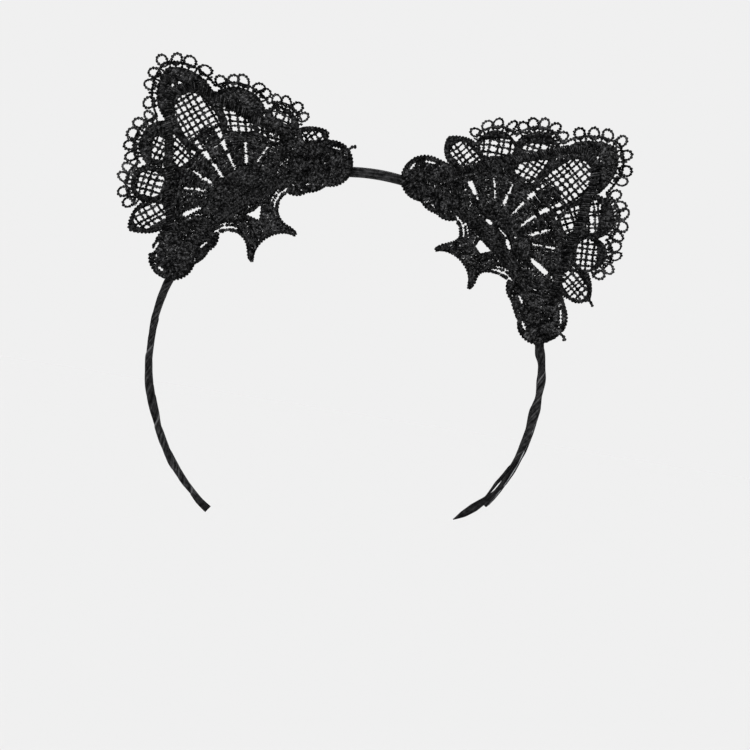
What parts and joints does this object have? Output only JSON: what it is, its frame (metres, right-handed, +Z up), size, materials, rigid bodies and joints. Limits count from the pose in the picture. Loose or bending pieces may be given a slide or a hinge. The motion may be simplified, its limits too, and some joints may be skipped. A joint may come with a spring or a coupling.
{
  "type": "animal ears headband",
  "caption": "Open arch of ribbon-wrapped spring strip that grips the head, with two wired lace cat ears sewn to its front edge.",
  "frame": {"origin": "centre of the band's arch, which is the middle of the wearer's head", "axes": "+Z up through the crown of the band, +X to the right as seen from the front, -Y the front, where the lace is"},
  "size_m": [0.181, 0.009, 0.1598],
  "materials": {
    "spring_steel": "cold-rolled spring steel, hidden under the ribbon",
    "wire_steel": "drawn wire, hidden under its wrapping",
    "satin_ribbon": "black satin ribbon, soft sheen along the weave",
    "lace_satin": "black machine-embroidered satin stitch",
    "lace_net": "black open net of plied thread",
    "lace_cord": "black twisted cord in loops",
    "wire_thread": "black thread wound tight on the wire",
    "sewing_thread": "black polyester sewing thread"
  },
  "bodies": {
    "crown": {"crown_strip": "spring_steel", "crown_ribbon": "satin_ribbon"},
    "left_side": {"left_strip": "spring_steel", "left_ribbon": "satin_ribbon", "left_ribbon_fold": "satin_ribbon", "left_ear_wire": "wire_steel", "left_wire_wrap": "wire_thread", "left_whip_stitches": "sewing_thread", "left_lace_border": "lace_satin", "left_lace_net": "lace_net", "left_lace_fan": "lace_satin", "left_lace_base": "lace_satin", "left_lace_picots": "lace_cord", "left_inner_lashing": "sewing_thread", "left_outer_lashing": "sewing_thread", "left_base_stitches": "sewing_thread", "left_thread_tail": "sewing_thread"},
    "right_side": {"right_strip": "spring_steel", "right_ribbon": "satin_ribbon", "right_ribbon_tail": "satin_ribbon", "right_ear_wire": "wire_steel", "right_wire_wrap": "wire_thread", "right_whip_stitches": "sewing_thread", "right_lace_border": "lace_satin", "right_lace_net": "lace_net", "right_lace_fan": "lace_satin", "right_lace_base": "lace_satin", "right_lace_picots": "lace_cord", "right_inner_lashing": "sewing_thread", "right_outer_lashing": "sewing_thread", "right_base_stitches": "sewing_thread", "right_thread_tails": "sewing_thread"}
  },
  "joints": [
    {"name": "left_arm_flex", "type": "hinge", "parent": "crown", "child": "left_side", "pos_m": [-0.00732, 0, 0.06962], "axis": [0, 1, 0], "range_deg": [-4, 12], "stiffness_Nm_per_rad": 1.1},
    {"name": "right_arm_flex", "type": "hinge", "parent": "crown", "child": "right_side", "pos_m": [0.00732, 0, 0.06962], "axis": [0, -1, 0], "range_deg": [-4, 12], "stiffness_Nm_per_rad": 1.1}
  ]
}
